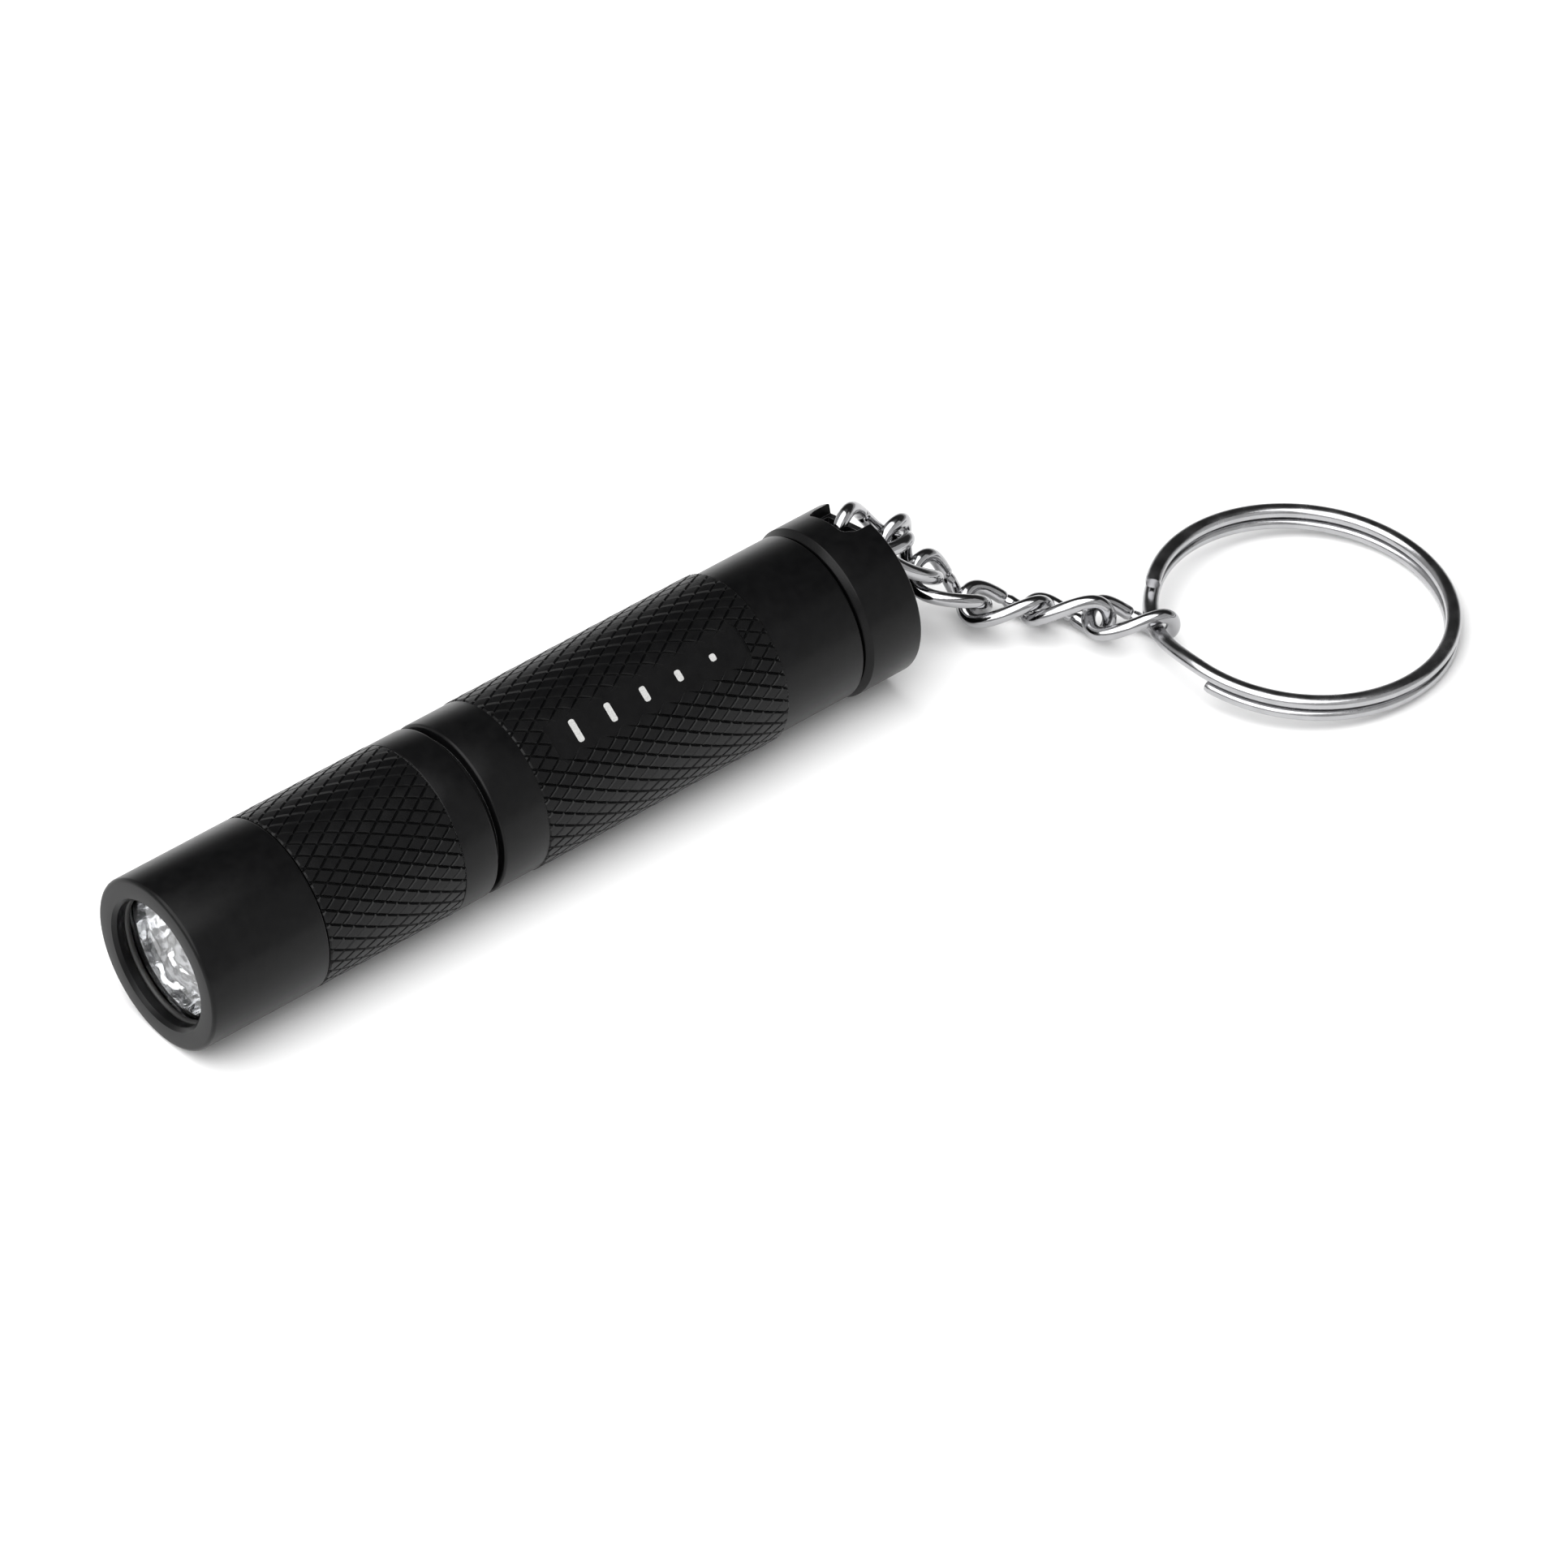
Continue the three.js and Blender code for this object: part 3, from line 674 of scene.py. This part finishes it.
def make_mirror_cup(finish):
    """The reflector: a paraboloid about the LED, rippled with orange peel."""
    steps = 80
    flange_rear = REFLECTOR_FRONT + 0.8 * MM

    def bowl_radius(x):
        return math.sqrt(4 * FOCAL_LENGTH * (FOCUS_X + FOCAL_LENGTH - x))

    def rippled(x, radius, angle):
        if radius > bowl_radius(x) + 1e-6:
            return radius
        point = Vector((x, radius * math.cos(angle), radius * math.sin(angle)))
        broad = noise.noise(point / (0.75 * MM))
        fine = noise.noise(point / (0.33 * MM) + Vector((7, 3, 5)))
        return radius + (0.075 * broad + 0.022 * fine) * MM

    outline = [
        (REFLECTOR_FRONT, LENS_RADIUS),
        (flange_rear, LENS_RADIUS),
        (flange_rear, 5.8 * MM),
        (REFLECTOR_REAR, 2.6 * MM),
    ]
    for step in range(steps, -1, -1):
        x = REFLECTOR_FRONT + (REFLECTOR_REAR - REFLECTOR_FRONT) * step / steps
        outline.append((x, bowl_radius(x)))
    mesh = bmesh.new()
    add_turned(mesh, outline, radius_at=rippled)
    cup = make_object("mirror_cup", mesh, finish, sharp=60)
    place(cup, "head", "reflector_mirror", "reflector")


def make_head_grip(smooth, grip):
    grip_front = BEZEL_REAR + 0.1 * MM
    lattice = make_knurl(grip_front, HEAD_GRIP_REAR, HEAD_RADIUS, HEAD_SPIGOT)
    knurl = make_object("knurl", lattice, grip)
    mesh = bmesh.new()
    add_turned(mesh, rounded([
        (HEAD_SPIGOT_FRONT, BOARD_BAY, 0),
        (HEAD_SPIGOT_FRONT, HEAD_SPIGOT, 0.1 * MM),
        (HEAD_GRIP_REAR, HEAD_SPIGOT, 0),
        (HEAD_GRIP_REAR, COLLAR_RADIUS, 0.06 * MM),
        (HEAD_REAR, COLLAR_RADIUS, 0.22 * MM),
        (HEAD_REAR, HEAD_BORE, 0.08 * MM),
        (HEAD_THREAD_SHOULDER, HEAD_BORE, 0),
        (HEAD_THREAD_SHOULDER, CELL_BAY, 0),
        (BOARD_SHOULDER, CELL_BAY, 0),
        (BOARD_SHOULDER, BOARD_BAY, 0),
    ]))
    sleeve = make_object("sleeve", mesh, smooth)
    place(joined("head_grip", [sleeve, knurl]), "head", "anodised_black", "head_sleeve")


# ---- Body ----


def oblong(x, length, width, corner):
    """The corners of a rectangle about (x, 0), as rounded() takes them."""
    return [
        (x + sx * length / 2, sy * width / 2, corner)
        for sx, sy in ((-1, -1), (1, -1), (1, 1), (-1, 1))
    ]


def make_body_grip(smooth, grip):
    lattice = make_knurl(BODY_GRIP_FRONT, BODY_GRIP_REAR, GRIP_RADIUS, CELL_BAY)
    knurl = make_object("knurl", lattice, grip)
    middle = (PAD_FRONT + PAD_REAR) / 2
    outline = rounded(oblong(middle, PAD_REAR - PAD_FRONT, PAD_WIDTH, 1.5 * MM), steps=10)
    mill = bmesh.new()
    add_prism(mill, outline, PAD_HEIGHT, GRIP_RADIUS + 1 * MM, around(PAD_TURN))
    cut(knurl, make_object("mill", mill, grip))

    groove_front = HEAD_SEAL_X - SEAL_GROOVE / 2
    groove_rear = HEAD_SEAL_X + SEAL_GROOVE / 2
    mesh = bmesh.new()
    add_turned(mesh, rounded([
        (TUBE_SPIGOT_FRONT, CELL_BAY, 0),
        (TUBE_SPIGOT_FRONT, TUBE_SPIGOT, 0.2 * MM),
        (groove_front, TUBE_SPIGOT, 0.05 * MM),
        (groove_front, TUBE_SPIGOT - SEAL_DEPTH, 0),
        (groove_rear, TUBE_SPIGOT - SEAL_DEPTH, 0),
        (groove_rear, TUBE_SPIGOT, 0.05 * MM),
        (BODY_FRONT, TUBE_SPIGOT, 0),
        (BODY_FRONT, COLLAR_RADIUS, 0.24 * MM),
        (BODY_GRIP_FRONT, COLLAR_RADIUS, 0.06 * MM),
        (BODY_GRIP_FRONT, CELL_BAY, 0),
    ]))
    front = make_object("front", mesh, smooth)
    mesh = bmesh.new()
    add_turned(mesh, rounded([
        (BODY_GRIP_REAR, CELL_BAY, 0),
        (BODY_GRIP_REAR, NECK_RADIUS, 0),
        (BODY_REAR, NECK_RADIUS, 0.2 * MM),
        (BODY_REAR, CAP_BORE, 0.05 * MM),
        (CAP_BORE_FRONT, CAP_BORE, 0),
        (CAP_BORE_FRONT, CELL_BAY, 0),
    ]))
    rear = make_object("rear", mesh, smooth)
    place(joined("body_grip", [front, rear, knurl]), "body", "anodised_black", "body_tube")


def make_level_mark(finish):
    """Five bars that grow towards the lens: a plain sign for more light, marked on the flat."""
    bars = 5
    width = 0.55 * MM
    shortest = 0.6 * MM
    tallest = 1.9 * MM
    first = PAD_FRONT + 2.5 * MM
    last = PAD_REAR - 3.0 * MM
    mesh = bmesh.new()
    for bar in range(bars):
        share = bar / (bars - 1)
        x = first + (last - first) * share
        height = tallest + (shortest - tallest) * share
        outline = rounded(oblong(x, width, height, 0.2 * MM))
        add_prism(mesh, outline, PAD_HEIGHT - 0.01 * MM, PAD_HEIGHT + 0.012 * MM, around(PAD_TURN))
    place(make_object("level_mark", mesh, finish), "body", "anodised_black")


# ---- Tail cap ----


def slot_outline(rear, width, corner):
    return rounded([
        (NOTCH_FRONT, -width / 2, corner),
        (rear, -width / 2, 0),
        (rear, width / 2, 0),
        (NOTCH_FRONT, width / 2, corner),
    ], steps=12)


def make_end_cap(finish):
    groove_front = TAIL_SEAL_X - SEAL_GROOVE / 2
    groove_rear = TAIL_SEAL_X + SEAL_GROOVE / 2
    mesh = bmesh.new()
    add_turned(mesh, [
        (CAP_POCKET_REAR, 0),
        *rounded([
            (CAP_POCKET_REAR, CAP_POCKET, 0.2 * MM),
            (CAP_SPIGOT_FRONT, CAP_POCKET, 0.1 * MM),
            (CAP_SPIGOT_FRONT, CAP_SPIGOT, 0.2 * MM),
            (groove_front, CAP_SPIGOT, 0.05 * MM),
            (groove_front, CAP_SPIGOT - SEAL_DEPTH, 0),
            (groove_rear, CAP_SPIGOT - SEAL_DEPTH, 0),
            (groove_rear, CAP_SPIGOT, 0.05 * MM),
            (CAP_FRONT, CAP_SPIGOT, 0),
            (CAP_FRONT, NECK_RADIUS - 0.25 * MM, 0.08 * MM),
            (CAP_FRONT + 0.45 * MM, GRIP_RADIUS, 0.12 * MM),
            (CAP_REAR, GRIP_RADIUS, 0.2 * MM),
            (CAP_REAR, CUP_RADIUS, 0.12 * MM),
            (CUP_FRONT, CUP_RADIUS, 0.2 * MM),
            (CUP_FRONT, 0, 0),
        ])[:-1],
        (CUP_FRONT, 0),
    ], closed=False)
    cap = make_object("end_cap", mesh, finish)
    beyond_rim = CAP_REAR + 1 * MM
    beyond_wall = GRIP_RADIUS + 1 * MM
    notch = bmesh.new()
    hole = bmesh.new()
    upright = around(NOTCH_TURN)
    notch_outline = slot_outline(beyond_rim, NOTCH_WIDTH, 1.3 * MM)
    add_prism(notch, notch_outline, NOTCH_FLOOR, beyond_wall, upright)
    hole_outline = slot_outline(BRIDGE_FRONT, NOTCH_WIDTH - 0.6 * MM, 0.6 * MM)
    add_prism(hole, hole_outline, 1.5 * MM, beyond_wall, upright)
    cut(cap, make_object("notch", notch, finish), make_object("hole", hole, finish))
    place(cap, "tail", "anodised_black", "tail_cap")


def make_thread_seals(finish):
    for name, x, bore, body, node in (
        ("head_thread_seal", HEAD_SEAL_X, HEAD_BORE, "body", "head_o_ring"),
        ("tail_thread_seal", TAIL_SEAL_X, CAP_BORE, "tail_seal", "tail_o_ring"),
    ):
        mesh = bmesh.new()
        add_seal(mesh, x, bore - SEAL_SECTION - SEAL_CLEARANCE, SEAL_SECTION)
        place(make_object(name, mesh, finish), body, "seal_rubber", node)


# ---- Chain and split ring ----


def direction_of(fall, heading):
    """The unit vector at this fall below level and this heading in plan."""
    drop = math.radians(fall)
    bearing = math.radians(heading)
    level = math.cos(drop)
    return Vector((level * math.cos(bearing), level * math.sin(bearing), -math.sin(drop)))


def pointing(direction, roll, centre):
    """The frame at centre with x along the direction, z near to up, then rolled about x."""
    across = Vector((0, 0, 1)).cross(direction).normalized()
    up = direction.cross(across)
    turn = Matrix((direction, across, up)).transposed().to_4x4()
    return Matrix.Translation(centre) @ turn @ Matrix.Rotation(math.radians(roll), 4, "X")


def link_point(share):
    """The centre line of a twisted curb link, which starts and ends at its seam."""
    half_length = (LINK_LENGTH - WIRE) / 2
    half_width = (LINK_WIDTH - WIRE) / 2
    sharpness = 3
    stretch = sharpness * (half_length - half_width) / math.tanh(sharpness)
    seam = LINK_SEAM / (half_width + stretch)
    angle = math.pi / 2 + seam / 2 + (2 * math.pi - seam) * share
    reach = math.tanh(sharpness * math.cos(angle)) / math.tanh(sharpness)
    x = half_width * math.cos(angle) + (half_length - half_width) * reach
    across = half_width * math.sin(angle)
    twist = math.radians(LINK_TWIST) * x / half_length
    return Vector((x, across * math.cos(twist), across * math.sin(twist)))


def wire_stations(points, radius, sides):
    """Round sections along a centre line, carried along without twisting, with eased ends."""
    stations = []
    side = None
    for i, point in enumerate(points):
        tangent = (points[min(i + 1, len(points) - 1)] - points[max(i - 1, 0)]).normalized()
        side = (side or tangent.orthogonal()).cross(tangent).cross(tangent).normalized() * -1
        other = tangent.cross(side)
        ease = 0.8 if i in (0, len(points) - 1) else 1.0
        stations.append([
            point + ease * radius * (math.cos(a) * side + math.sin(a) * other)
            for a in (2 * math.pi * k / sides for k in range(sides))
        ])
    return stations


def make_link(name, centre, direction, roll, finish, body, node):
    steps = 150
    shares = [0, *((k + 0.8) / steps for k in range(steps - 1)), 1]
    points = [link_point(share) for share in shares]
    mesh = bmesh.new()
    add_sweep(mesh, wire_stations(points, WIRE / 2, 24))
    mesh.transform(pointing(direction, roll, centre))
    place(make_object(name, mesh, finish, sharp=50), body, "chain_plating", node)


def ring_frame(angle):
    """The split ring's middle line, and its outward direction, at this many degrees along it."""
    rise = max(0.0, min(1.0, (angle - RING_STEP_START) / (RING_STEP_END - RING_STEP_START)))
    climb = rise * rise * (3 - 2 * rise) - 0.5
    turn = math.radians(angle - RING_HEADING)
    outward = Vector((math.cos(turn), math.sin(turn), 0))
    return RING_RADIUS * outward + Vector((0, 0, RING_LAYER * climb)), outward


def make_key_ring(placement, finish):
    """Two flat coils of soft-cornered wire that step from the lower to the upper."""
    steps = 420
    sides = 28
    softness = 2 / 2.3
    stations = []
    for step in range(steps + 1):
        angle = RING_START + (RING_END - RING_START) * step / steps
        middle, outward = ring_frame(angle)
        along = (ring_frame(angle + 0.1)[0] - ring_frame(angle - 0.1)[0]).normalized()
        axial = outward.cross(along)
        ease = 0.88 if step in (0, steps) else 1.0
        station = []
        for k in range(sides):
            a = 2 * math.pi * k / sides
            wide = math.copysign(abs(math.cos(a)) ** softness, math.cos(a)) * RING_WIRE_WIDTH / 2
            tall = math.copysign(abs(math.sin(a)) ** softness, math.sin(a)) * RING_WIRE_HEIGHT / 2
            station.append(middle + ease * (wide * outward + tall * axial))
        stations.append(station)
    mesh = bmesh.new()
    add_sweep(mesh, stations)
    mesh.transform(placement)
    place(make_object("key_ring", mesh, finish, sharp=50), "ring", "ring_plating", "split_ring")


def make_chain(chain_finish, ring_finish):
    turn = math.radians(NOTCH_TURN)
    notch_up = Vector((0, -math.sin(turn), math.cos(turn)))
    bridge = notch_up * (NOTCH_FLOOR + CUP_RADIUS) / 2
    bridge += Vector(((BRIDGE_FRONT + CAP_REAR) / 2, 0, AXIS_Z))
    fall = math.radians(TAIL_LINK_FALL)
    first = Vector((math.cos(fall), 0, 0)) - notch_up * math.sin(fall)
    centre = bridge + first * BRIDGE_TO_LINK_CENTRE
    make_link("hook_link", centre, first, TAIL_LINK_ROLL, chain_finish, "tail_link", "tail_link")
    joint = centre + first * LINK_PITCH / 2
    for number, (drop, heading, roll) in enumerate(CHAIN_LIE, 1):
        direction = direction_of(drop, heading)
        middle = joint + direction * LINK_PITCH / 2
        node = f"chain_link_{number}"
        make_link(f"curb_link_{number}", middle, direction, roll, chain_finish, node, node)
        joint = joint + direction * LINK_PITCH
    towards = direction_of(RING_FALL, RING_HEADING)
    ring_centre = joint + towards * RING_REACH + Vector((0, 0, RING_LIFT))
    make_key_ring(pointing(towards, 0, ring_centre), ring_finish)


# ---- CAD nodes that keep their shape ----

INNER_FINISHES = {
    "led_dome": "phosphor",
    "led_package": "package",
    "led_board": "led_board",
    "driver_board": "driver",
    "driver_inductor": "moulded",
    "driver_chip": "moulded",
    "positive_contact": "brass",
    "contact_insulator": "nylon",
    "cell_can": "steel",
    "cell_button": "steel",
    "cell_sleeve": "wrap",
    "cell_spring": "spring",
    "spring_contact": "brass",
}


def finish_inner_nodes(finishes):
    for node, finish in INNER_FINISHES.items():
        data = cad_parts[node].data
        data.materials.clear()
        data.materials.append(finishes[finish])


# ---- Studio ----


def make_floor():
    mesh = bmesh.new()
    bmesh.ops.create_grid(mesh, x_segments=8, y_segments=8, size=2.0)
    material, tree, shader = new_material("floor_paper")
    fibre = noise_pattern(tree, 6 * MM, 3.0)
    paper = mixed_colours(tree, fibre, (0.90, 0.90, 0.90), (0.92, 0.92, 0.92))
    tree.links.new(paper, shader.inputs["Base Color"])
    shader.inputs["Roughness"].default_value = 0.9
    shader.inputs["Specular IOR Level"].default_value = 0.1
    floor = make_object("floor", mesh, material)
    floor.location.z = -FLOOR_GAP


def add_panel(name, direction, width, height, power):
    """A soft box that faces the light's middle from this direction."""
    light = bpy.data.lights.new(name, "AREA")
    light.shape = "RECTANGLE"
    light.size = width
    light.size_y = height
    light.energy = power
    lamp = bpy.data.objects.new(name, light)
    bpy.context.scene.collection.objects.link(lamp)
    away = Vector(direction).normalized()
    lamp.location = Vector(PANEL_TARGET) + away * PANEL_DISTANCE
    lamp.rotation_mode = "QUATERNION"
    lamp.rotation_quaternion = away.to_track_quat("Z", "Y")


def make_world():
    """A pale low sweep, a dark studio above it, a soft glow overhead and a pale left side."""
    world = bpy.data.worlds.new("studio")
    world.use_nodes = True
    tree = world.node_tree
    coordinates = add_node(tree, "ShaderNodeTexCoord")
    parts = add_node(tree, "ShaderNodeSeparateXYZ")
    tree.links.new(coordinates.outputs["Generated"], parts.inputs["Vector"])
    ramp = add_node(tree, "ShaderNodeValToRGB")
    stops = ((0.0, 0.62), (0.14, 0.5), (0.30, 0.04), (0.80, 0.03), (0.93, 0.14), (1.0, 0.22))
    elements = ramp.color_ramp.elements
    while len(elements) < len(stops):
        elements.new(0.5)
    for element, (position, grey) in zip(elements, stops):
        element.position = position
        element.color = (grey, grey, grey, 1)
    tree.links.new(parts.outputs["Z"], ramp.inputs["Fac"])
    left = spread(tree, parts.outputs["X"], 1.0, 0.0, -0.2, 0.15)
    surround = mixed_colours(tree, left, ramp.outputs["Color"], (0.55, 0.55, 0.55))
    tree.links.new(surround, tree.nodes["Background"].inputs["Color"])
    bpy.context.scene.world = world


def make_camera():
    """The photograph's view: from the lens end's right, well above, with a long lens."""
    azimuth = math.radians(CAMERA_AZIMUTH)
    elevation = math.radians(CAMERA_ELEVATION)
    level = math.cos(elevation)
    back = Vector((math.sin(azimuth) * level, -math.cos(azimuth) * level, math.sin(elevation)))
    data = bpy.data.cameras.new("camera")
    data.sensor_width = 36
    data.lens = CAMERA_LENS
    data.clip_start = 0.01
    data.clip_end = 20
    camera = bpy.data.objects.new("camera", data)
    bpy.context.scene.collection.objects.link(camera)
    camera.location = Vector(CAMERA_TARGET) + back * CAMERA_DISTANCE
    camera.rotation_mode = "QUATERNION"
    camera.rotation_quaternion = (-back).to_track_quat("-Z", "Y")
    bpy.context.scene.camera = camera


def make_studio():
    scene = bpy.context.scene
    scene.view_settings.view_transform = "Standard"
    scene.view_settings.look = "None"
    make_camera()
    make_floor()
    make_world()
    add_panel("key", (-0.48, -0.10, 1.0), 1.25, 1.5, 19)
    add_panel("fill", (0.45, -0.95, 0.6), 0.9, 0.7, 1.2)


# ---- Everything ----

finishes = make_materials()
make_bezel(finishes["smooth"])
make_front_seal(finishes["rubber"])
make_window(finishes["glass"])
make_mirror_cup(finishes["mirror"])
make_head_grip(finishes["smooth"], finishes["grip"])
make_body_grip(finishes["smooth"], finishes["grip"])
make_level_mark(finishes["ink"])
make_end_cap(finishes["smooth"])
make_thread_seals(finishes["rubber"])
make_chain(finishes["chain"], finishes["ring"])
finish_inner_nodes(finishes)
make_studio()
